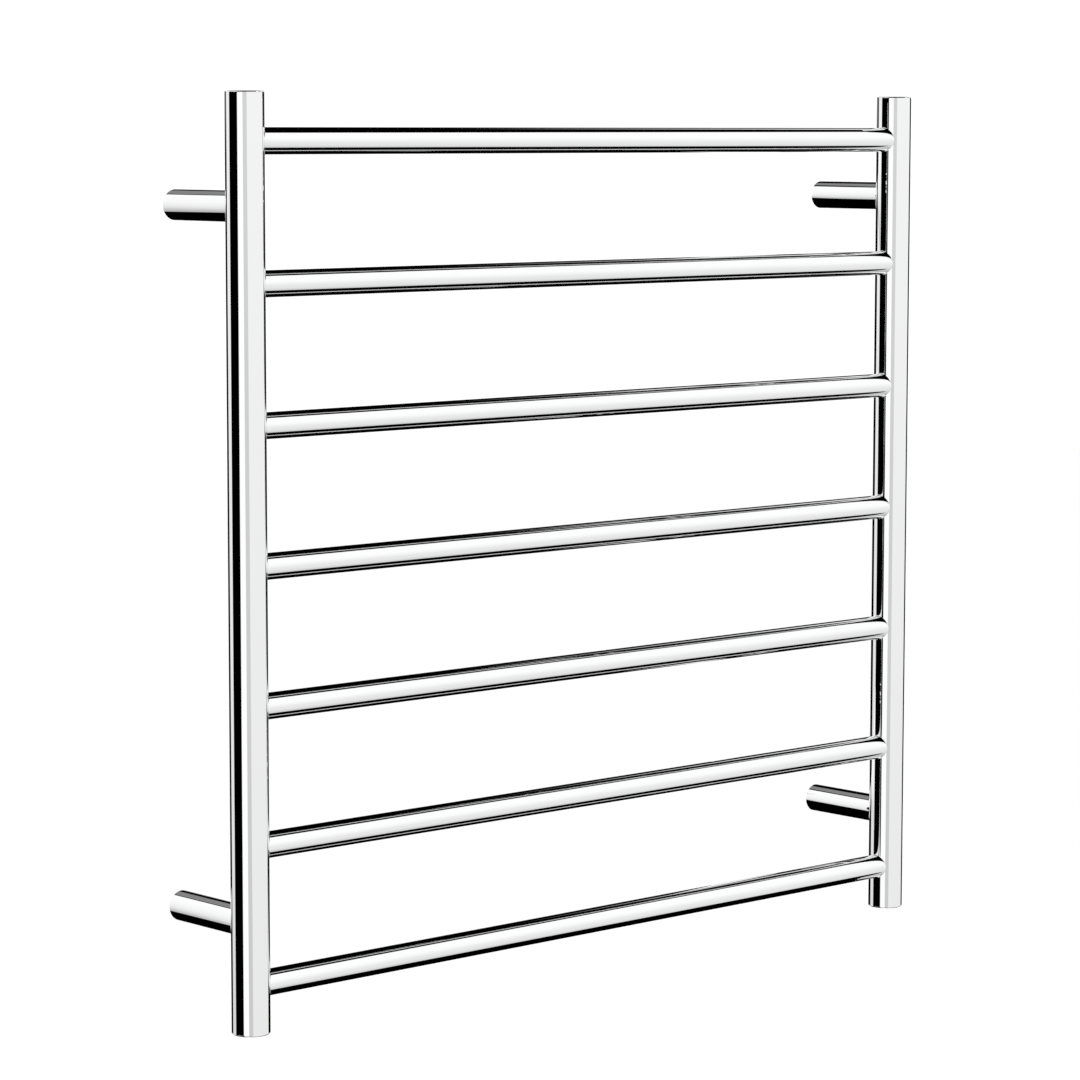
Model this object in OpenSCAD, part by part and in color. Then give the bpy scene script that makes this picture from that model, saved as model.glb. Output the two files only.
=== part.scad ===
// Towel warmer rack: a welded ladder of seven round bars between two round posts, held off the
// wall by four legs. Each leg slides over a boss screwed to the wall and is locked by a set screw.
// +X is to the right, +Y runs back into the wall, +Z is up. The origin is on the wall's face, at
// the centre of the four wall bosses.

/* [Overall] */
// Width over the two posts
rack_w = 800; // [400:10:1200]
// Height over the end caps
rack_h = 770; // [560:10:1200]
// Depth from the wall to the front of the posts
rack_d = 110; // [90:1:160]

/* [Posts] */
// Outer diameter of a post
post_d = 32; // [30:0.5:40]
// Wall of a post
post_wall = 1.5; // [1:0.1:2]
// Thickness of the end cap's rim
cap_t = 1; // [0.8:0.1:3]
// Depth of the end cap's spigot in the post
spigot_l = 7; // [4:1:9]

/* [Bars] */
// Outer diameter of a bar
bar_d = 22; // [18:0.5:24]
// Wall of a bar
bar_wall = 1.2; // [0.8:0.1:2]
// Distance from the rack's end to the outermost bar's axis
bar_inset = 40; // [36:1:44]
// How far a bar's end stops short of the post's axis
bar_setback = 8; // [8:0.5:9]

/* [Legs] */
// Outer diameter of a leg
leg_d = 25.4; // [25:0.1:28]
// Wall of a leg
leg_wall = 2; // [1.5:0.1:2.2]
// Distance from the rack's end to the leg's axis
leg_inset = 92.5; // [92:0.5:110]
// Gap between the leg's end and the wall
leg_gap = 0.5; // [0.3:0.1:2]
// Diameter of the wiring hole from the leg into the post
wiring_hole_d = 12; // [8:1:16]

/* [Wall bosses] */
// Length of a boss
boss_l = 22; // [16:1:30]
// Diameter of the hole for the wall screw
screw_hole_d = 4.5; // [4:0.1:5]
// Diameter of the countersink for the wall screw's head
countersink_d = 8.6; // [8:0.1:9]
// Height of the set screw's flat below the boss's axis
flat_h = 8.1; // [7.5:0.1:8.5]
// Width of the slot for the supply lead
slot_w = 7.4; // [6:0.1:8]
// Height of the slot's floor above the boss's axis
slot_h = 4.8; // [4.6:0.1:5.2]

/* [Set screws] */
// Thread diameter of a set screw
set_screw_d = 5; // [4:0.5:5]
// Length of a set screw
set_screw_l = 4; // [3:0.5:4]
// Size of the set screw's hexagon socket across its flats
hex_af = 2.5; // [2:0.5:2.5]
// Gap between the set screw's tip and the boss's flat
tip_gap = 0.3; // [0.2:0.1:0.5]

/* [Heating element] */
// Diameter of the heating cable
cable_d = 4; // [3:0.5:4]
// Diameter of the sleeves on the heating cable
sleeve_d = 8; // [7:0.5:10]
// Diameter of the grommet's hole for the supply lead
lead_hole_d = 4.8; // [4:0.1:5]

/* [Hidden] */
$fn = 96;
BAR_COUNT = 7;
BARS = [for (i = [1:BAR_COUNT]) str("bar_", i)];
SIDES = ["left", "right"];
ENDS = ["top", "bottom"];

STEEL = [0.80, 0.81, 0.82];
ZINC = [0.62, 0.64, 0.66];
BLACK_OXIDE = [0.16, 0.16, 0.17];
SILICONE = [0.72, 0.23, 0.16];
CERAMIC = [0.90, 0.89, 0.84];
CLEAR_GREY = [0.45, 0.47, 0.50];
RUBBER = [0.12, 0.12, 0.12];

sliver = 0.01;      // overlap that keeps cuts from sharing a face
weld_gap = 0.05;    // root gap of a welded joint
slide_gap = 0.06;   // radial clearance of a leg on its boss
thread_gap = 0.05;  // radial clearance of a set screw in its hole
spigot_gap = 0.1;   // radial clearance of an end cap's spigot
edge = 0.3;         // broken edge of turned parts

post_r = post_d / 2;
post_bore_r = post_r - post_wall;
post_x = rack_w / 2 - post_r;
post_y = -(rack_d - post_r);
post_l = rack_h - 2 * cap_t;

bar_r = bar_d / 2;
bar_bore_r = bar_r - bar_wall;
bar_end_x = post_x - bar_setback;
top_bar_z = rack_h / 2 - bar_inset;
bar_pitch = 2 * top_bar_z / (BAR_COUNT - 1);

leg_r = leg_d / 2;
leg_bore_r = leg_r - leg_wall;
leg_z = rack_h / 2 - leg_inset;

boss_r = leg_bore_r - slide_gap;
boss_chamfer = 1;
screw_hole_r = screw_hole_d / 2;
countersink_r = countersink_d / 2;

set_screw_r = set_screw_d / 2 - thread_gap;
set_screw_y = -boss_l / 2;
socket_depth = 2;
cup_r = 1.2;
cup_depth = 0.6;

cable_r = cable_d / 2;
cable_drop = bar_bore_r - cable_r - spigot_gap;  // the cable lies on the floor of each bar
bend_r = bar_setback;
sleeve_r = sleeve_d / 2;
sleeve_bore_r = cable_r + thread_gap;
splice_l = 16;
splice_top_z = -leg_z - 3;
splice_wall = 2;
cutout_l = 20;
cutout_low_z = -top_bar_z + bend_r;
seal_l = 14;
seal_low_z = top_bar_z + 5;
seal_wall = 3;
grommet_l = 5;
grommet_gap = 0.05;
lead_hole_r = lead_hole_d / 2;

// Height of bar i, counted from the top
function bar_z(i) = top_bar_z - (i - 1) * bar_pitch;
// Height of the heating cable in bar i
function run_z(i) = bar_z(i) - cable_drop;
// -1 on the left, +1 on the right
function side_x(side) = side == "left" ? -1 : 1;
// +1 at the top, -1 at the bottom
function end_z(end) = end == "top" ? 1 : -1;
// The side on which the heating cable leaves bar i: it enters the lowest bar from the right
function exit_side(i) = i % 2 == 1 ? -1 : 1;

// A cylinder along Y from y0 to y1
module y_rod(r, y0, y1) {
    translate([0, y1, 0])
        rotate([90, 0, 0])
            cylinder(r = r, h = y1 - y0);
}

// A cylinder along X from x0 to x1
module x_rod(r, x0, x1) {
    translate([x0, 0, 0])
        rotate([0, 90, 0])
            cylinder(r = r, h = x1 - x0);
}

// A cylinder along Z from z0 to z1
module z_rod(r, z0, z1) {
    translate([0, 0, z0])
        cylinder(r = r, h = z1 - z0);
}

// Places its children at the wall end of a leg's axis
module at_leg(side, end) {
    translate([side_x(side) * post_x, 0, end_z(end) * leg_z])
        children();
}

// Places its children on a post's axis at the rack's middle height
module at_post(side) {
    translate([side_x(side) * post_x, post_y, 0])
        children();
}

// Upright tube with a hole for each bar and a wiring hole behind each leg
module post(side) {
    color(STEEL)
        at_post(side)
            difference() {
                z_rod(post_r, -post_l / 2, post_l / 2);
                z_rod(post_bore_r, -rack_h, rack_h);
                for (i = [1:BAR_COUNT])
                    translate([0, 0, bar_z(i)])
                        rotate([0, side_x(side) < 0 ? 90 : -90, 0])
                            cylinder(r = bar_r + weld_gap, h = post_d);
                for (end = ENDS)
                    translate([0, 0, end_z(end) * leg_z])
                        y_rod(wiring_hole_d / 2, 0, post_d);
            }
}

// Turned cap: a rim as wide as the post, on a spigot that fits inside it
module end_cap(side, end) {
    color(STEEL)
        at_post(side)
            mirror([0, 0, end == "top" ? 0 : 1])
                translate([0, 0, post_l / 2])
                    rotate_extrude()
                        polygon([
                            [0, -spigot_l],
                            [post_bore_r - spigot_gap - edge, -spigot_l],
                            [post_bore_r - spigot_gap, -spigot_l + edge],
                            [post_bore_r - spigot_gap, 0],
                            [post_r, 0],
                            [post_r, cap_t - edge],
                            [post_r - edge, cap_t],
                            [0, cap_t]
                        ]);
}

// Cross tube, its ends open inside the posts so that the heating cable can pass
module bar(i) {
    color(STEEL)
        translate([0, post_y, bar_z(i)])
            difference() {
                x_rod(bar_r, -bar_end_x, bar_end_x);
                x_rod(bar_bore_r, -rack_w, rack_w);
            }
}

// Stand-off tube, cut to the post's round and welded to it, tapped from below for the set screw
module leg(side, end) {
    color(STEEL)
        difference() {
            at_leg(side, end)
                difference() {
                    y_rod(leg_r, post_y, -leg_gap);
                    y_rod(leg_bore_r, -rack_d, rack_d);
                    translate([0, set_screw_y, 0])
                        z_rod(set_screw_d / 2, -post_d, 0);
                }
            at_post(side)
                z_rod(post_r + weld_gap, -rack_h, rack_h);
        }
}

// Turned boss: countersunk for the wall screw, flat below for the set screw, slotted above for a lead
module wall_boss(side, end) {
    color(ZINC)
        at_leg(side, end)
            difference() {
                rotate([90, 0, 0])
                    rotate_extrude()
                        polygon([
                            [0, 0],
                            [boss_r, 0],
                            [boss_r, boss_l - boss_chamfer],
                            [boss_r - boss_chamfer, boss_l],
                            [0, boss_l]
                        ]);
                y_rod(screw_hole_r, -rack_d, rack_d);
                translate([0, -boss_l + countersink_r - screw_hole_r, 0])
                    rotate([90, 0, 0])
                        cylinder(r1 = screw_hole_r, r2 = countersink_r + sliver,
                                 h = countersink_r - screw_hole_r + sliver);
                translate([-post_r, -rack_d, -post_d - flat_h])
                    cube([post_d, 2 * rack_d, post_d]);
                translate([-slot_w / 2, -rack_d, slot_h])
                    cube([slot_w, 2 * rack_d, post_d]);
            }
}

// Headless screw with a hexagon socket below and a cup point above
module set_screw(side, end) {
    color(BLACK_OXIDE)
        at_leg(side, end)
            translate([0, set_screw_y, -flat_h - tip_gap])
                difference() {
                    mirror([0, 0, 1])
                        rotate_extrude()
                            polygon([
                                [0, 0],
                                [set_screw_r - edge, 0],
                                [set_screw_r, edge],
                                [set_screw_r, set_screw_l - edge],
                                [set_screw_r - edge, set_screw_l],
                                [0, set_screw_l]
                            ]);
                    translate([0, 0, -cup_depth])
                        cylinder(r1 = 0, r2 = cup_r, h = cup_depth + sliver);
                    translate([0, 0, -set_screw_l - sliver])
                        cylinder(d = hex_af / cos(30), h = socket_depth, $fn = 6);
                }
}

// Quarter bend of the heating cable, from bar level z on one side into the post above or below
module cable_bend(side_sign, up_sign, z) {
    quarter = side_sign > 0 ? (up_sign > 0 ? 90 : 0) : (up_sign > 0 ? 180 : 270);
    translate([side_sign * bar_end_x, post_y, z + up_sign * bend_r])
        rotate([0, quarter, 0])
            rotate([90, 0, 0])
                rotate_extrude(angle = 90)
                    translate([bend_r, 0])
                        circle(r = cable_r);
}

// Upright length of the heating cable in a post
module cable_riser(side_sign, z0, z1) {
    translate([side_sign * post_x, post_y, 0])
        z_rod(cable_r, z0, z1);
}

// One silicone cable through all the bars, from the splice at the lower right up to the top left
module heating_cable() {
    color(SILICONE)
        union() {
            cable_riser(1, run_z(BAR_COUNT) + bend_r, splice_top_z - splice_wall);
            cable_bend(1, 1, run_z(BAR_COUNT));
            for (i = [1:BAR_COUNT]) {
                translate([0, post_y, run_z(i)])
                    x_rod(cable_r, -bar_end_x, bar_end_x);
                cable_bend(exit_side(i), 1, run_z(i));
            }
            for (i = [1:BAR_COUNT - 1]) {
                cable_bend(-exit_side(i), -1, run_z(i));
                cable_riser(-exit_side(i), run_z(i + 1) + bend_r, run_z(i) - bend_r);
            }
            cable_riser(exit_side(1), run_z(1) + bend_r, seal_low_z + seal_l - seal_wall);
        }
}

// Ceramic sleeve of the thermal cut-out, around the cable below the splice
module thermal_cutout() {
    color(CERAMIC)
        at_post("right")
            difference() {
                z_rod(sleeve_r, cutout_low_z, cutout_low_z + cutout_l);
                z_rod(sleeve_bore_r, -rack_h, rack_h);
            }
}

// Closed crimp sleeve that joins the heating cable to the supply lead
module splice_sleeve() {
    color(CLEAR_GREY)
        at_post("right")
            difference() {
                z_rod(sleeve_r, splice_top_z - splice_l, splice_top_z);
                z_rod(sleeve_bore_r, -rack_h, splice_top_z - splice_wall + thread_gap);
            }
}

// Moulded seal over the heating cable's far end
module cable_end_seal() {
    color(SILICONE)
        at_post("left")
            difference() {
                z_rod(sleeve_r, seal_low_z, seal_low_z + seal_l);
                z_rod(sleeve_bore_r, -rack_h, seal_low_z + seal_l - seal_wall + thread_gap);
            }
}

// Rubber bush in the slot of the lower right boss, where the supply lead leaves for the wall
module cable_grommet() {
    color(RUBBER)
        at_leg("right", "bottom")
            difference() {
                intersection() {
                    y_rod(boss_r - grommet_gap, -grommet_l, 0);
                    translate([-slot_w / 2 + grommet_gap, -rack_d, slot_h + grommet_gap])
                        cube([slot_w - 2 * grommet_gap, 2 * rack_d, post_d]);
                }
                translate([0, 0, (slot_h + boss_r) / 2])
                    y_rod(lead_hole_r, -rack_d, rack_d);
            }
}

post("left");  // left_post
post("right");  // right_post
for (side = SIDES)
    for (end = ENDS)
        end_cap(side, end);
for (i = [1:BAR_COUNT])
    bar(i);
for (end = ENDS)
    for (side = SIDES)
        leg(side, end);
for (end = ENDS)
    for (side = SIDES)
        wall_boss(side, end);
for (end = ENDS)
    for (side = SIDES)
        set_screw(side, end);
heating_cable();
thermal_cutout();
splice_sleeve();
cable_end_seal();
cable_grommet();
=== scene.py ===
"""Looks of the towel warmer rack: polished tubes, welds, caps and screws, in a plain studio."""
import math

import bmesh
import bpy
from mathutils import Matrix, Vector


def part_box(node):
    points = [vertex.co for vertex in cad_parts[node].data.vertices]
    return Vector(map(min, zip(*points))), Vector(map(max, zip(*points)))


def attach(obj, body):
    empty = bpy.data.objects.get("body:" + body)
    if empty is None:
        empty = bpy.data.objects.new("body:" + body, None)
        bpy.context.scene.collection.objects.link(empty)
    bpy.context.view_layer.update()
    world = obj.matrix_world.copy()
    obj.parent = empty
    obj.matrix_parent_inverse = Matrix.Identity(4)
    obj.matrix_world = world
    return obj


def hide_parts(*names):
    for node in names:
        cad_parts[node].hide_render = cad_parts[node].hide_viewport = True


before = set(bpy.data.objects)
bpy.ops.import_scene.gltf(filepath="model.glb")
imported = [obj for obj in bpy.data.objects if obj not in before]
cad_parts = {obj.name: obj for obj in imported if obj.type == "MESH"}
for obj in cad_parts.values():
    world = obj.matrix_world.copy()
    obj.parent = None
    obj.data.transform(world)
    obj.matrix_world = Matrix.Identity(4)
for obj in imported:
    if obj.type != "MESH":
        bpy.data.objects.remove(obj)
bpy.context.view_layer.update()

# ---------------------------------------------------------------- measures, in metres

MM = 0.001
SIDES = ("left", "right")
ENDS = ("top", "bottom")
BARS = tuple(f"bar_{i}" for i in range(1, 8))
X_AXIS, Y_AXIS, Z_AXIS = Vector((1, 0, 0)), Vector((0, 1, 0)), Vector((0, 0, 1))

POST_WALL = 1.5 * MM
BAR_WALL = 1.2 * MM
LEG_WALL = 2.0 * MM
CAP_RIM = 1.0 * MM
CAP_SPIGOT_GAP = 0.1 * MM
TUBE_EDGE = 0.15 * MM
POST_EDGE = 0.35 * MM
SPIGOT_EDGE = 0.3 * MM
WELD_FILLET = 0.8 * MM
WELD_GAP = 0.05 * MM
WIRING_HOLE_R = 6.0 * MM
SET_SCREW_HOLE_R = 2.5 * MM
SCREW_R = 2.45 * MM
THREAD_PITCH = 0.8 * MM
THREAD_DEPTH = 0.45 * MM
THREAD_RUN_OUT = 0.5 * THREAD_PITCH
THREAD_FLAT = 1.25    # where a thread's flanks would meet, in depths, which leaves its crest flat
HEX_AF = 2.5 * MM
SOCKET_DEPTH = 2.0 * MM
CUP_R = 1.2 * MM
CUP_DEPTH = 0.6 * MM
CUP_PROUD = 0.01 * MM
ON_ROUND = 0.01 * MM  # how near a round's surface a point has to be to count as on it
FACING_ROUND = 0.9    # how squarely a face has to face away from a round's axis, as a cosine

ROUND = 192           # sides of a post, bar, leg or cap
WELD_ROUND = 96       # steps round a weld
ARC_STEPS = 6         # steps across a weld or a rounded edge
SCREW_ROUND = 64      # sides of a set screw
THREAD_LEVELS = 40    # steps along a set screw


def tenth(length):
    """A length read from the frame, settled on the nearest tenth of a millimetre."""
    return round(length / (0.1 * MM)) * 0.1 * MM


def middle(node):
    """Centre of a node's box."""
    low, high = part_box(node)
    return Vector([tenth((a + b) / 2) for a, b in zip(low, high)])


def half_width(node, axis):
    """Half of a node's size along an axis: 0, 1 or 2."""
    low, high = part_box(node)
    return tenth((high[axis] - low[axis]) / 2)


POST_R = half_width("left_post", 0)
POST_HALF = half_width("left_post", 2)
POST_Y = middle("left_post").y
BAR_R = half_width("bar_1", 2)
BAR_HALF = half_width("bar_1", 0)
LEG_R = half_width("top_left_leg", 0)
LEG_END_Y = tenth(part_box("top_left_leg")[1][1])
CAP_DEPTH = 2 * half_width("left_top_cap", 2) - CAP_RIM
SCREW_HALF = half_width("top_left_set_screw", 2)

# ---------------------------------------------------------------- camera

CAMERA_AT = (-2.248, -2.498, 0.355)
CAMERA_YAW, CAMERA_PITCH, CAMERA_ROLL = -42.26, -6.24, 0.07  # degrees
LENS, SENSOR = 125.4, 36.0                                   # millimetres, as Blender has them


def make_camera():
    """Looks at the rack from its left front and a little above, through a long lens."""
    data = bpy.data.cameras.new("camera")
    data.lens = LENS
    data.sensor_width = SENSOR
    camera = bpy.data.objects.new("camera", data)
    camera.location = CAMERA_AT
    yaw = Matrix.Rotation(math.radians(CAMERA_YAW), 4, "Z")
    pitch = Matrix.Rotation(math.radians(90 + CAMERA_PITCH), 4, "X")
    roll = Matrix.Rotation(math.radians(CAMERA_ROLL), 4, "Z")
    camera.matrix_world = Matrix.Translation(camera.location) @ (yaw @ pitch) @ roll
    bpy.context.scene.collection.objects.link(camera)
    bpy.context.scene.camera = camera


# ---------------------------------------------------------------- node formulas


class Formula:
    """A shader socket that can be used in arithmetic: each operation adds a Math node."""

    def __init__(self, tree, socket):
        self.tree = tree
        self.socket = socket

    def node(self, operation, *values):
        """The result of a Math node, with this formula as its first input."""
        made = self.tree.nodes.new("ShaderNodeMath")
        made.operation = operation
        for slot, value in zip(made.inputs, (self,) + values):
            if isinstance(value, Formula):
                self.tree.links.new(value.socket, slot)
            else:
                slot.default_value = value
        return Formula(self.tree, made.outputs[0])

    def __add__(self, other):
        return self.node("ADD", other)

    def __sub__(self, other):
        return self.node("SUBTRACT", other)

    def __mul__(self, other):
        return self.node("MULTIPLY", other)

    def ramp(self, stops):
        """Piecewise linear values: stops are (input, output) pairs, the inputs from -1 to 1."""
        made = self.tree.nodes.new("ShaderNodeValToRGB")
        self.tree.links.new((self * 0.5 + 0.5).socket, made.inputs["Fac"])
        points = made.color_ramp.elements
        for point in list(points)[1:]:
            points.remove(point)
        for i, (at, value) in enumerate(stops):
            point = points[0] if i == 0 else points.new(0.5 + at / 2)
            point.position = 0.5 + at / 2
            point.color = (value, value, value, 1)
        return Formula(self.tree, made.outputs["Color"])

    def above(self, edge, soft):
        """0 below the edge and 1 above it, blended over the soft width."""
        made = self.tree.nodes.new("ShaderNodeMapRange")
        made.interpolation_type = "SMOOTHSTEP"
        self.tree.links.new(self.socket, made.inputs["Value"])
        made.inputs["From Min"].default_value = edge - soft / 2
        made.inputs["From Max"].default_value = edge + soft / 2
        return Formula(self.tree, made.outputs["Result"])

    def below(self, edge, soft):
        """1 below the edge and 0 above it."""
        return self.above(edge, soft).complement()

    def within(self, low, high, soft):
        """1 between two edges and 0 outside them."""
        return self.above(low, soft) * self.below(high, soft)

    def complement(self):
        """1 minus the value."""
        return self * -1 + 1


def coordinates(tree, stretch=(1, 1, 1)):
    """The object's own coordinates in metres, multiplied by the given stretch."""
    source = tree.nodes.new("ShaderNodeTexCoord")
    mapping = tree.nodes.new("ShaderNodeMapping")
    mapping.inputs["Scale"].default_value = stretch
    tree.links.new(source.outputs["Object"], mapping.inputs["Vector"])
    return mapping.outputs["Vector"]


def noise(tree, scale, detail, stretch=(1, 1, 1)):
    """Cloudy noise from about 0 to 1, at the given scale per metre, before any stretch."""
    made = tree.nodes.new("ShaderNodeTexNoise")
    tree.links.new(coordinates(tree, stretch), made.inputs["Vector"])
    made.inputs["Scale"].default_value = scale
    made.inputs["Detail"].default_value = detail
    return Formula(tree, made.outputs["Fac"])


def bump(tree, height, distance):
    """The normal of a surface raised by a formula, which is worth the distance where it's 1."""
    made = tree.nodes.new("ShaderNodeBump")
    made.inputs["Distance"].default_value = distance
    tree.links.new(height.socket, made.inputs["Height"])
    return made.outputs["Normal"]


MIX_A, MIX_B, MIX_RESULT = 6, 7, 2  # the colour sockets of a Mix node


def two_tone(tree, amount, dark, light):
    """A colour between two others."""
    made = tree.nodes.new("ShaderNodeMix")
    made.data_type = "RGBA"
    tree.links.new(amount.socket, made.inputs["Factor"])
    made.inputs[MIX_A].default_value = (*dark, 1)
    made.inputs[MIX_B].default_value = (*light, 1)
    return made.outputs[MIX_RESULT]


def new_material(name):
    """A material, its node tree and the shader in it."""
    material = bpy.data.materials.new(name)
    material.use_nodes = True
    return material, material.node_tree, material.node_tree.nodes["Principled BSDF"]


# ---------------------------------------------------------------- materials

STEEL_COLOURS = (0.915, 0.92, 0.925), (0.945, 0.945, 0.945)
STEEL_ROUGHNESS = 0.006
LINE_ROUGHNESS = 0.006
SMEAR_ROUGHNESS = 0.012
LINES_ALONG, LINES_ROUND = 900, 60    # polishing lines per metre, along a tube and round it
ZINC_COLOURS = (0.50, 0.52, 0.53), (0.74, 0.75, 0.74)
RINGS_ALONG, RINGS_ROUND = 2600, 40   # turning marks per metre
OXIDE_COLOURS = (0.055, 0.055, 0.06), (0.20, 0.20, 0.20)
FLOOR_COLOURS = (0.94, 0.94, 0.94), (0.96, 0.96, 0.96)

# Each soft skin: dark and light colour, roughness, size of the grain and its height.
SOFT_SKINS = {
    "silicone": ((0.50, 0.07, 0.04), (0.58, 0.12, 0.07), 0.38, 0.25 * MM, 0.01 * MM),
    "ceramic": ((0.80, 0.78, 0.71), (0.88, 0.86, 0.80), 0.65, 0.3 * MM, 0.02 * MM),
    "crimp_sleeve": ((0.20, 0.22, 0.25), (0.27, 0.29, 0.32), 0.20, 1.2 * MM, 0.05 * MM),
    "grommet_rubber": ((0.022, 0.022, 0.023), (0.035, 0.035, 0.036), 0.60, 0.2 * MM, 0.02 * MM),
}


def polished_steel(name, along):
    """Mirror-polished steel: fine lines across the tube's length, faint smears and haze."""
    material, tree, shader = new_material(name)
    shader.inputs["Metallic"].default_value = 1.0
    line_scale = [LINES_ALONG if axis == along else LINES_ROUND for axis in range(3)]
    lines = noise(tree, 1.0, 3.0, line_scale)
    smears = noise(tree, 28.0, 4.0).above(0.6, 0.3)
    haze = noise(tree, 6.0, 2.0)
    roughness = smears * SMEAR_ROUGHNESS + lines * LINE_ROUGHNESS + STEEL_ROUGHNESS
    tree.links.new(roughness.socket, shader.inputs["Roughness"])
    tree.links.new(two_tone(tree, haze, *STEEL_COLOURS), shader.inputs["Base Color"])
    return material


def plated_boss():
    """Zinc plate over turned steel: rings round each boss's axis, with cloudy passivation."""
    material, tree, shader = new_material("plated_boss")
    shader.inputs["Metallic"].default_value = 1.0
    rings = noise(tree, 1.0, 2.0, (RINGS_ROUND, RINGS_ALONG, RINGS_ROUND))
    clouds = noise(tree, 160.0, 5.0)
    tree.links.new((clouds * 0.18 + rings * 0.12 + 0.18).socket, shader.inputs["Roughness"])
    tree.links.new(two_tone(tree, clouds, *ZINC_COLOURS), shader.inputs["Base Color"])
    tree.links.new(bump(tree, rings, 0.02 * MM), shader.inputs["Normal"])
    return material


def black_oxide():
    """Black oxide on hardened steel: near black, with brighter worn patches."""
    material, tree, shader = new_material("set_screw_steel")
    shader.inputs["Metallic"].default_value = 1.0
    wear = noise(tree, 900.0, 5.0)
    worn = wear.above(0.58, 0.25)
    tree.links.new((wear * 0.25 + 0.28).socket, shader.inputs["Roughness"])
    tree.links.new(two_tone(tree, worn, *OXIDE_COLOURS), shader.inputs["Base Color"])
    tree.links.new(bump(tree, wear, 0.01 * MM), shader.inputs["Normal"])
    return material


def soft_skin(name):
    """A matt or satin non-metal: mottled colour and a fine moulded grain."""
    dark, light, roughness, grain_size, grain_height = SOFT_SKINS[name]
    material, tree, shader = new_material(name)
    grain = noise(tree, 1 / grain_size, 4.0)
    mottle = noise(tree, 0.08 / grain_size, 3.0)
    tree.links.new((grain * 0.15 + roughness).socket, shader.inputs["Roughness"])
    tree.links.new(two_tone(tree, mottle, dark, light), shader.inputs["Base Color"])
    tree.links.new(bump(tree, grain, grain_height), shader.inputs["Normal"])
    return material


def floor_paint():
    """Plain pale studio floor."""
    material, tree, shader = new_material("studio_floor")
    mottle = noise(tree, 3.0, 3.0)
    shader.inputs["Roughness"].default_value = 0.9
    shader.inputs["Specular IOR Level"].default_value = 0.1
    tree.links.new(two_tone(tree, mottle, *FLOOR_COLOURS), shader.inputs["Base Color"])
    return material


# ---------------------------------------------------------------- mesh tools


def ring_of(bm, radius, height, sides):
    """Vertices of a circle round Z, or one vertex where the radius is nothing."""
    if radius == 0:
        return [bm.verts.new((0, 0, height))]
    return [bm.verts.new((radius * math.cos(i * math.tau / sides),
                          radius * math.sin(i * math.tau / sides), height)) for i in range(sides)]


def join_rings(bm, lower, upper):
    """Faces between two rings, either of which may be a single point."""
    count = max(len(lower), len(upper))
    for i in range(count):
        j = (i + 1) % count
        corners = [lower[i % len(lower)], lower[j % len(lower)],
                   upper[j % len(upper)], upper[i % len(upper)]]
        bm.faces.new(dict.fromkeys(corners))


def turned(outline, sides, closed):
    """A solid of revolution round Z. outline is (radius, height) points, anticlockwise."""
    bm = bmesh.new()
    rings = [ring_of(bm, radius, height, sides) for radius, height in outline]
    pairs = list(zip(rings, rings[1:]))
    if closed:
        pairs.append((rings[-1], rings[0]))
    for lower, upper in pairs:
        join_rings(bm, lower, upper)
    return bm


def solid(name, bm, placement):
    """An object from a bmesh, with the placement worked into its vertices."""
    bm.transform(placement)
    bmesh.ops.recalc_face_normals(bm, faces=bm.faces)
    mesh = bpy.data.meshes.new(name)
    bm.to_mesh(mesh)
    bm.free()
    made = bpy.data.objects.new(name, mesh)
    bpy.context.scene.collection.objects.link(made)
    return made


def carve(piece, cutters):
    """Subtracts the cutters from the piece and deletes them."""
    for cutter in cutters:
        modifier = piece.modifiers.new("cut", "BOOLEAN")
        modifier.operation = "DIFFERENCE"
        modifier.solver = "EXACT"
        modifier.object = cutter
    graph = bpy.context.evaluated_depsgraph_get()
    cut = bpy.data.meshes.new_from_object(piece.evaluated_get(graph))
    piece.modifiers.clear()
    piece.data = cut
    for cutter in cutters:
        bpy.data.objects.remove(cutter)


def true_rounds(piece, rounds):
    """Gives each face on a round the round's exact normals, so that it reflects without facets.

    rounds is a list of (point on the axis, direction of the axis, radius). Other faces stay flat.
    """
    mesh = piece.data
    normals = [None] * len(mesh.loops)
    for face in mesh.polygons:
        points = [mesh.vertices[v].co for v in face.vertices]
        radials = [None] * len(points)
        for origin, direction, radius in rounds:
            spokes = [(p - origin) - direction * (p - origin).dot(direction) for p in points]
            if all(abs(s.length - radius) < ON_ROUND for s in spokes):
                if max(abs(s.normalized().dot(face.normal)) for s in spokes) > FACING_ROUND:
                    sign = 1 if spokes[0].dot(face.normal) > 0 else -1
                    radials = [s.normalized() * sign for s in spokes]
                    break
        for loop, normal in zip(face.loop_indices, radials):
            normals[loop] = normal if normal is not None else face.normal
    for face in mesh.polygons:
        face.use_smooth = True
    mesh.normals_split_custom_set(normals)


def smooth(piece, sharp):
    """Smooth shading, except across edges sharper than an angle in degrees."""
    piece.data.shade_smooth()
    piece.data.set_sharp_from_angle(angle=math.radians(sharp))


def own(piece, material, body, node=None):
    """Gives a new piece its material and body, and hides the CAD node it stands for if it has one.
    """
    piece.data.materials.clear()
    piece.data.materials.append(material)
    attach(piece, body)
    if node:
        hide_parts(node)


def along_x(centre):
    """A placement at a centre, with its Z along the frame's X."""
    return Matrix.Translation(centre) @ Matrix.Rotation(math.pi / 2, 4, "Y")


def along_y(centre):
    """A placement at a centre, with its Z along the frame's Y."""
    return Matrix.Translation(centre) @ Matrix.Rotation(-math.pi / 2, 4, "X")


def rod(radius, length, placement, sides=WELD_ROUND):
    """A plain cutter from its placement's origin along its Z."""
    outline = [(0, 0), (radius, 0), (radius, length), (0, length)]
    return solid("cutter", turned(outline, sides, closed=False), placement)


def tube_outline(outer, wall, low, high, edge):
    """Cross-section of a tube with its outer edges just broken."""
    inner = outer - wall
    return [(inner, low), (outer - edge, low), (outer, low + edge),
            (outer, high - edge), (outer - edge, high), (inner, high)]


# ---------------------------------------------------------------- pieces


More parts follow.
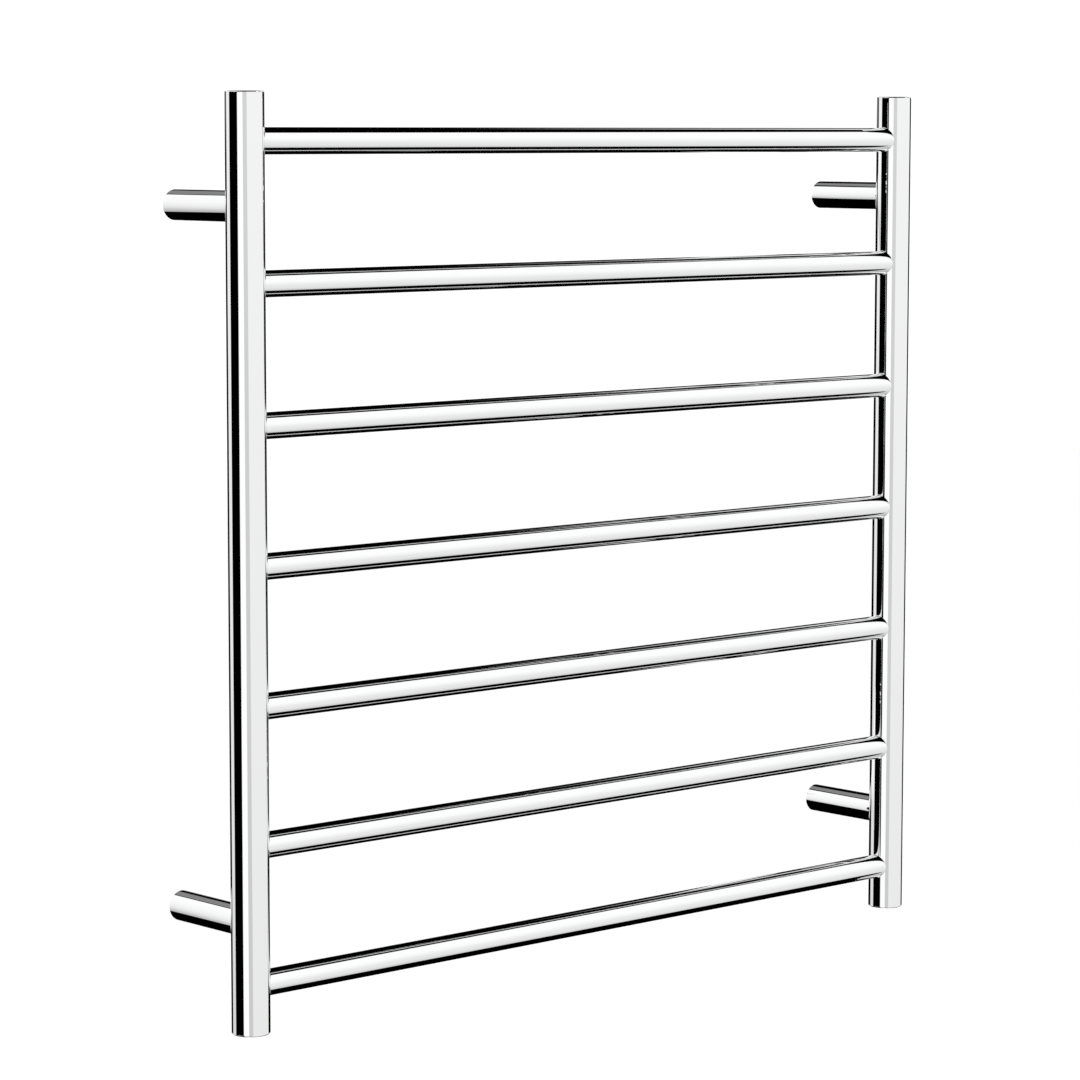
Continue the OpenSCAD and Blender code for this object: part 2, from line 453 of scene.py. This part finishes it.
def make_post(side, steel):
    """Post tube, with the holes into which the bars and the wiring go."""
    centre = middle(f"{side}_post")
    inward = 1 if side == "left" else -1
    outline = tube_outline(POST_R, POST_WALL, -POST_HALF, POST_HALF, POST_EDGE)
    place = Matrix.Translation(centre)
    post = solid(f"{side}_post_tube", turned(outline, ROUND, closed=True), place)
    cutters = []
    for bar in BARS:
        at = Vector((centre.x, centre.y, middle(bar).z))
        cutters.append(rod(BAR_R + WELD_GAP, 2 * POST_R * inward, along_x(at)))
    for end in ENDS:
        at = Vector((centre.x, centre.y, middle(f"{end}_{side}_leg").z))
        cutters.append(rod(WIRING_HOLE_R, 2 * POST_R, along_y(at)))
    carve(post, cutters)
    true_rounds(post, [(centre, Z_AXIS, POST_R), (centre, Z_AXIS, POST_R - POST_WALL)])
    own(post, steel, "rack", f"{side}_post")


def make_bar(bar, steel):
    """Cross tube, its ends inside the posts."""
    centre = middle(bar)
    outline = tube_outline(BAR_R, BAR_WALL, -BAR_HALF, BAR_HALF, TUBE_EDGE)
    tube = solid(f"{bar}_tube", turned(outline, ROUND, closed=True), along_x(centre))
    true_rounds(tube, [(centre, X_AXIS, BAR_R), (centre, X_AXIS, BAR_R - BAR_WALL)])
    own(tube, steel, "rack", bar)


def make_leg(end, side, steel):
    """Stand-off tube, cut to the post's round and drilled from below for its set screw."""
    node = f"{end}_{side}_leg"
    centre = middle(node)
    post = middle(f"{side}_post")
    outline = tube_outline(LEG_R, LEG_WALL, POST_Y, LEG_END_Y, TUBE_EDGE)
    place = along_y(Vector((centre.x, 0, centre.z)))
    tube = solid(f"{node}_tube", turned(outline, ROUND, closed=True), place)
    screw = middle(f"{end}_{side}_set_screw")
    below_post = Matrix.Translation(post - Z_AXIS * 2 * POST_HALF)
    below_leg = Matrix.Translation(screw - Z_AXIS * 2 * LEG_R)
    carve(tube, [
        rod(POST_R + WELD_GAP, 4 * POST_HALF, below_post, ROUND),
        rod(SET_SCREW_HOLE_R, 2 * LEG_R, below_leg),
    ])
    true_rounds(tube, [
        (centre, Y_AXIS, LEG_R),
        (centre, Y_AXIS, LEG_R - LEG_WALL),
        (screw, Z_AXIS, SET_SCREW_HOLE_R),
        (post, Z_AXIS, POST_R + WELD_GAP),
    ])
    own(tube, steel, "rack", node)


def make_cap(side, end, steel):
    """End cap: rim and spigot, the rim's edge fully rounded."""
    node = f"{side}_{end}_cap"
    spigot = POST_R - POST_WALL - CAP_SPIGOT_GAP
    outline = [(0, -CAP_DEPTH), (spigot - SPIGOT_EDGE, -CAP_DEPTH),
               (spigot, -CAP_DEPTH + SPIGOT_EDGE), (spigot, 0)]
    for i in range(ARC_STEPS + 1):
        turn = i / ARC_STEPS * math.pi / 2
        outline.append((POST_R - CAP_RIM * (1 - math.cos(turn)), CAP_RIM * math.sin(turn)))
    outline.append((0, CAP_RIM))
    upright = Matrix.Identity(4) if end == "top" else Matrix.Rotation(math.pi, 4, "X")
    height = POST_HALF if end == "top" else -POST_HALF
    place = Matrix.Translation(middle(f"{side}_post") + Z_AXIS * height) @ upright
    cap = solid(f"{node}_plate", turned(outline, ROUND, closed=False), place)
    smooth(cap, sharp=30)
    own(cap, steel, "rack", node)


def weld_ring(bm, origin, out, up, branch_r):
    """Polished fillet where a round tube meets a post: a ball rolled round the corner leaves it.

    origin is on the post's axis, out runs along the tube and up along the post.
    """
    across = out.cross(up)
    ball_post_r = POST_R + WELD_FILLET
    ball_tube_r = branch_r + WELD_FILLET
    corner_r = branch_r - WELD_GAP
    shrink = POST_R / ball_post_r
    rings = []
    for i in range(WELD_ROUND):
        turn = i * math.tau / WELD_ROUND
        w, v = math.cos(turn), math.sin(turn)
        reach = math.sqrt(ball_post_r ** 2 - (ball_tube_r * w) ** 2)
        ball = Vector((reach, ball_tube_r * w, ball_tube_r * v))
        on_tube = Vector((ball.x, branch_r * w, branch_r * v))
        on_post = Vector((ball.x * shrink, ball.y * shrink, ball.z))
        depth = math.sqrt(POST_R ** 2 - (branch_r * w) ** 2) - WELD_GAP
        start, stop = (on_tube - ball) / WELD_FILLET, (on_post - ball) / WELD_FILLET
        arc = [start.slerp(stop, k / ARC_STEPS) for k in range(ARC_STEPS + 1)]
        points = [ball + spoke * WELD_FILLET for spoke in arc]
        points.append(Vector((depth, corner_r * w, corner_r * v)))
        rings.append([bm.verts.new(origin + out * p.x + across * p.y + up * p.z) for p in points])
    for ring, following in zip(rings, rings[1:] + rings[:1]):
        for k in range(len(ring)):
            j = (k + 1) % len(ring)
            bm.faces.new((ring[k], ring[j], following[j], following[k]))


def make_welds(side, steel):
    """The welds of one post: a ring round each bar and each leg."""
    post = middle(f"{side}_post")
    inward = X_AXIS if side == "left" else -X_AXIS
    bm = bmesh.new()
    for bar in BARS:
        weld_ring(bm, Vector((post.x, post.y, middle(bar).z)), inward, Z_AXIS, BAR_R)
    for end in ENDS:
        height = middle(f"{end}_{side}_leg").z
        weld_ring(bm, Vector((post.x, post.y, height)), Y_AXIS, Z_AXIS, LEG_R)
    welds = solid(f"{side}_post_welds", bm, Matrix.Identity(4))
    smooth(welds, sharp=50)
    own(welds, steel, "rack")


def make_set_screw(end, side, oxide):
    """Headless screw: a real helical thread, a hexagon socket below and a cup point above."""
    node = f"{end}_{side}_set_screw"
    centre = middle(node)
    bm = bmesh.new()
    rings = []
    for k in range(THREAD_LEVELS + 1):
        height = -SCREW_HALF + 2 * SCREW_HALF * k / THREAD_LEVELS
        fade = min(1, (SCREW_HALF - abs(height)) / THREAD_RUN_OUT)
        ring = []
        for i in range(SCREW_ROUND):
            phase = (height / THREAD_PITCH - i / SCREW_ROUND) % 1
            crest = 1 - abs(2 * phase - 1)
            radius = SCREW_R - THREAD_DEPTH * (1 - fade * min(1, crest * THREAD_FLAT))
            turn = i * math.tau / SCREW_ROUND
            ring.append(bm.verts.new((radius * math.cos(turn), radius * math.sin(turn), height)))
        rings.append(ring)
    for lower, upper in zip(rings, rings[1:]):
        join_rings(bm, lower, upper)
    bm.faces.new(rings[0])
    bm.faces.new(rings[-1])
    screw = solid(f"{node}_thread", bm, Matrix.Translation(centre))
    foot = centre - Z_AXIS * SCREW_HALF
    tip = centre + Z_AXIS * SCREW_HALF
    below_foot = Matrix.Translation(foot - Z_AXIS * MM)
    cup = turned([(0, -CUP_DEPTH), (CUP_R, CUP_PROUD), (0, CUP_PROUD)], SCREW_ROUND, closed=False)
    carve(screw, [
        rod(HEX_AF / math.sqrt(3), SOCKET_DEPTH + MM, below_foot, sides=6),
        solid("cutter", cup, Matrix.Translation(tip)),
    ])
    smooth(screw, sharp=40)
    own(screw, oxide, f"{end}_{side}_screw", node)


def dress(node, material):
    """Gives a CAD node that stays its own material."""
    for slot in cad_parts[node].material_slots:
        slot.material = material


# ---------------------------------------------------------------- studio

# The studio is drawn on directions from the rack. Bearings are in degrees, clockwise from above:
# 0 is behind the rack, 90 to its right, 180 in front of it and 270 to its left. x, y and z are the
# parts of a direction one unit long, and z is called its height. A pair is (edge, soft width), and
# three numbers together are (first edge, last edge, soft width).

REFLECTION_GAIN = 1.06
SOFT_LIGHT = 1.08

# Brightness of the front and rear walls: (height, brightness) pairs.
FRONT_SHADE = ((-0.72, 0.56), (-0.60, 0.68), (-0.49, 0.765), (-0.38, 0.80), (-0.25, 0.815),
               (-0.10, 0.862), (0.0, 0.905), (0.13, 0.95), (0.27, 0.99), (0.40, 1.0))
REAR_SHADE = ((-0.40, 0.50), (-0.28, 0.63), (-0.19, 0.76), (0.02, 0.88), (0.23, 0.94),
              (0.40, 0.975), (0.55, 1.0))

# Front walls, from right to left, and the black gaps in them.
RIGHT_WALL = (92, 205.5, 1.5)
GREY_STRIP = (205.5, 229, 1.5)
WHITE_WALL = (229, 261, 1.5)
STRIP_BRIGHTNESS = 0.72
TOP_GAP_SLOPE = (0.1206, 0.1402, 0.1476)
TOP_GAP_EDGE, TOP_GAP_FOOT = (0, 0.01), (0.1, 0.02)
LOW_GAP_SLOPE = 0.6
LOW_GAP_EDGE, LOW_GAP_HEAD, LOW_GAP_LAST = (0, 0.02), (-0.3, 0.02), (180, 2)
FLAG_LEFT, FLAG_RIGHT, FLAG_FOOT = (0.57, 0.03), (0.77, 0.02), (0.30, 0.05)

# Rear wall and what stands beside it.
REAR_FIRST, REAR_LAST, REAR_HEAD = (318, 1), (355, 1), (0.705, 0.01)
REAR_STEP, REAR_STEP_HEIGHT = 6, (0.02, 0.02)
REAR_FOOT, REAR_FOOT_SLOPE = (0, 0.02), 0.0075
REAR_FOOT_BEARING, REAR_FOOT_HEIGHT = 313, -0.3
GREY_SIDE_LAST, GREY_SIDE_FOOT = (28.5, 1), (0, 0.02)
GREY_TOP_FIRST, GREY_TOP_FOOT = (340, 1), (0.73, 0.01)
GREY_DEPTH, GREY_BRIGHTNESS = (0.2, 0.02), 0.231
GLOW_BEARINGS, GLOW_HEIGHTS, GLOW_BRIGHTNESS = (34, 53, 3), (-0.22, 0.10, 0.04), 0.35

# Windows: bright patches behind the rack and to both sides.
REAR_WINDOW_DEPTH, REAR_WINDOW_BRIGHTNESS = (0.85, 0.02), 0.9
REAR_WINDOW_FOOT, REAR_WINDOW_LOW_HEAD, REAR_WINDOW_LOW = (0.22, 0.03), (-0.27, 0.03), 0.6
LEFT_WINDOW, LEFT_WINDOW_HEIGHTS = (266, 309, 3), (0.12, 0.80, 0.06)
RIGHT_WINDOW, RIGHT_WINDOW_HEIGHTS = (56, 92, 2), (0.03, 0.60, 0.05)
RIGHT_WINDOW_LOW_HEIGHTS, RIGHT_WINDOW_LOW = (-0.50, -0.26, 0.05), 0.5
SIDE_WINDOW_BRIGHTNESS = 0.85

# Patch of lit floor, which the bottom edges of the posts mirror.
PATCH_BEARINGS, PATCH_BRIGHTNESS = (8, 80, 4), 0.92
PATCH_X, PATCH_Y, PATCH_HEIGHT = (0.57, 0.03), (0.64, 0.03), (-0.72, 0.04)

# Card behind each right-hand leg.
CARD_NEAR, CARD_FAR = 15 * MM, 112 * MM    # its reach to the left of the leg's side
CARD_BEHIND = 20 * MM                      # how far it stands behind the leg's end
CARD_HEAD = 0.88                           # rise of its upper edge, for its run to the left
CARD_FOOT = {"top": 0.64, "bottom": 0.42}  # fall of its lower edge, likewise
CARD_HEIGHT = 0.745                        # height of direction that straight up on it stands for

# Floor and key light, in metres.
FLOOR_DROP = 1.2
FLOOR_HALF = 12.0
FLOOR_CELLS = 8
KEY_AT = (-1.8, -2.2, 1.8)
KEY_SIZE = (1.6, 1.2)
KEY_WATTS = 25


def front_walls(x, y, z, bearing):
    """White wall, darker strip and grey right wall, with black gaps above and below them."""
    slope_x, slope_y, slope_z = TOP_GAP_SLOPE
    over_top = y * slope_y + z * slope_z - x * slope_x
    over_top = over_top.above(*TOP_GAP_EDGE) * z.above(*TOP_GAP_FOOT)
    under = (y - z * LOW_GAP_SLOPE).above(*LOW_GAP_EDGE)
    under = under * z.below(*LOW_GAP_HEAD) * bearing.below(*LOW_GAP_LAST)
    flag = (x.below(*FLAG_LEFT) + x.above(*FLAG_RIGHT)) * z.above(*FLAG_FOOT)
    clear = over_top.complement() * under.complement() * flag.complement()
    shade = z.ramp(FRONT_SHADE)
    right_wall = bearing.within(*RIGHT_WALL) * shade * clear
    grey_strip = bearing.within(*GREY_STRIP) * shade * STRIP_BRIGHTNESS * clear
    white_wall = bearing.within(*WHITE_WALL) * clear
    return right_wall + grey_strip + white_wall


def rear_walls(y, z, bearing):
    """Rear wall, the grey and the glow beside it, and the windows behind and to both sides."""
    rise = (bearing - REAR_FOOT_BEARING) * REAR_FOOT_SLOPE
    foot = (z - REAR_FOOT_HEIGHT + rise).above(*REAR_FOOT)
    side = (bearing + z.below(*REAR_STEP_HEIGHT) * REAR_STEP).below(*REAR_LAST)
    wall = bearing.above(*REAR_FIRST) * side * z.ramp(REAR_SHADE) * z.below(*REAR_HEAD) * foot
    grey_side = bearing.below(*GREY_SIDE_LAST) * z.above(*GREY_SIDE_FOOT)
    grey_top = bearing.above(*GREY_TOP_FIRST) * z.above(*GREY_TOP_FOOT)
    grey = y.above(*GREY_DEPTH) * (grey_side + grey_top) * GREY_BRIGHTNESS
    glow = bearing.within(*GLOW_BEARINGS) * z.within(*GLOW_HEIGHTS) * GLOW_BRIGHTNESS
    rear_window = z.above(*REAR_WINDOW_FOOT) + z.below(*REAR_WINDOW_LOW_HEAD) * REAR_WINDOW_LOW
    rear_window = y.above(*REAR_WINDOW_DEPTH) * rear_window * REAR_WINDOW_BRIGHTNESS
    left_window = bearing.within(*LEFT_WINDOW) * z.within(*LEFT_WINDOW_HEIGHTS)
    low_light = z.within(*RIGHT_WINDOW_LOW_HEIGHTS) * RIGHT_WINDOW_LOW
    right_window = bearing.within(*RIGHT_WINDOW) * (z.within(*RIGHT_WINDOW_HEIGHTS) + low_light)
    return (wall * rear_window.complement() + grey + glow + rear_window
            + left_window * SIDE_WINDOW_BRIGHTNESS + right_window * SIDE_WINDOW_BRIGHTNESS)


def make_world():
    """A studio as polished metal sees it: white and grey walls, a black flag and a black rear.

    Only reflections see the walls. The camera and soft light see plain white.
    """
    world = bpy.data.worlds.new("studio")
    bpy.context.scene.world = world
    world.use_nodes = True
    world.cycles.sampling_method = "NONE"
    tree = world.node_tree
    split = tree.nodes.new("ShaderNodeSeparateXYZ")
    source = tree.nodes.new("ShaderNodeTexCoord")
    tree.links.new(source.outputs["Generated"], split.inputs[0])
    x, y, z = (Formula(tree, split.outputs[i]) for i in range(3))
    bearing = x.node("ARCTAN2", y) * (180 / math.pi)
    bearing = bearing + bearing.below(0, 0.001) * 360

    patch = bearing.within(*PATCH_BEARINGS) * x.below(*PATCH_X) * y.below(*PATCH_Y)
    patch = patch * z.below(*PATCH_HEIGHT)
    walls = front_walls(x, y, z, bearing) + rear_walls(y, z, bearing)
    seen = (walls * patch.complement() + patch * PATCH_BRIGHTNESS) * REFLECTION_GAIN
    path = tree.nodes.new("ShaderNodeLightPath")
    reflected = Formula(tree, path.outputs["Is Glossy Ray"])
    strength = seen * reflected + reflected.complement() * SOFT_LIGHT
    background = tree.nodes["Background"]
    tree.links.new(strength.socket, background.inputs["Strength"])
    background.inputs["Color"].default_value = (1, 1, 1, 1)


def make_reflector(end):
    """Small white card behind a right-hand leg, there for the leg's polish alone.

    It carries on the rear wall's shading.
    """
    material = bpy.data.materials.new(f"{end}_reflector")
    material.use_nodes = True
    tree = material.node_tree
    tree.nodes.clear()
    split = tree.nodes.new("ShaderNodeSeparateXYZ")
    tree.links.new(coordinates(tree), split.inputs[0])
    across, up = Formula(tree, split.outputs[0]), Formula(tree, split.outputs[2])
    glow = tree.nodes.new("ShaderNodeEmission")
    height = up.node("ARCTAN2", across * -1).node("SINE") * CARD_HEIGHT
    tree.links.new((height.ramp(REAR_SHADE) * REFLECTION_GAIN).socket, glow.inputs["Strength"])
    output = tree.nodes.new("ShaderNodeOutputMaterial")
    tree.links.new(glow.outputs[0], output.inputs["Surface"])

    foot = CARD_FOOT[end]
    corners = [(-CARD_NEAR, -CARD_NEAR * foot), (-CARD_FAR, -CARD_FAR * foot),
               (-CARD_FAR, CARD_FAR * CARD_HEAD), (-CARD_NEAR, CARD_NEAR * CARD_HEAD)]
    bm = bmesh.new()
    bm.faces.new([bm.verts.new((x, 0, z)) for x, z in corners])
    card = solid(f"{end}_reflector", bm, Matrix.Identity(4))
    leg = middle(f"{end}_right_leg")
    card.location = (leg.x - LEG_R, CARD_BEHIND, leg.z)
    card.data.materials.append(material)
    card.visible_camera = False
    card.visible_diffuse = False
    card.visible_shadow = False


def make_floor():
    """A pale floor, about as far below the rack as the room's floor would be."""
    bm = bmesh.new()
    bmesh.ops.create_grid(bm, x_segments=FLOOR_CELLS, y_segments=FLOOR_CELLS, size=FLOOR_HALF)
    floor = solid("studio_floor", bm, Matrix.Translation((0, 0, -FLOOR_DROP)))
    floor.data.materials.append(floor_paint())
    floor.visible_glossy = False


def make_key_light():
    """A large soft box at the upper left, which the polished metal doesn't mirror."""
    data = bpy.data.lights.new("key", "AREA")
    data.shape = "RECTANGLE"
    data.size, data.size_y = KEY_SIZE
    data.energy = KEY_WATTS
    light = bpy.data.objects.new("key", data)
    light.location = KEY_AT
    light.rotation_euler = (-light.location).to_track_quat("-Z", "Y").to_euler()
    light.visible_glossy = False
    bpy.context.scene.collection.objects.link(light)


# ---------------------------------------------------------------- the scene

make_camera()
bpy.context.scene.view_settings.view_transform = "Standard"

upright_steel = polished_steel("polished_steel_posts", 2)
crosswise_steel = polished_steel("polished_steel_bars", 0)
leg_steel = polished_steel("polished_steel_legs", 1)
cap_steel = polished_steel("polished_steel_caps", 2)
oxide = black_oxide()
zinc = plated_boss()
silicone = soft_skin("silicone")
ceramic = soft_skin("ceramic")
sleeve = soft_skin("crimp_sleeve")
rubber = soft_skin("grommet_rubber")

for side in SIDES:
    make_post(side, upright_steel)
    make_welds(side, upright_steel)
    for end in ENDS:
        make_cap(side, end, cap_steel)
        make_leg(end, side, leg_steel)
        make_set_screw(end, side, oxide)
        dress(f"{end}_{side}_wall_boss", zinc)
for bar in BARS:
    make_bar(bar, crosswise_steel)
dress("heating_cable", silicone)
dress("cable_end_seal", silicone)
dress("thermal_cutout", ceramic)
dress("splice_sleeve", sleeve)
dress("cable_grommet", rubber)

make_world()
for end in ENDS:
    make_reflector(end)
make_floor()
make_key_light()
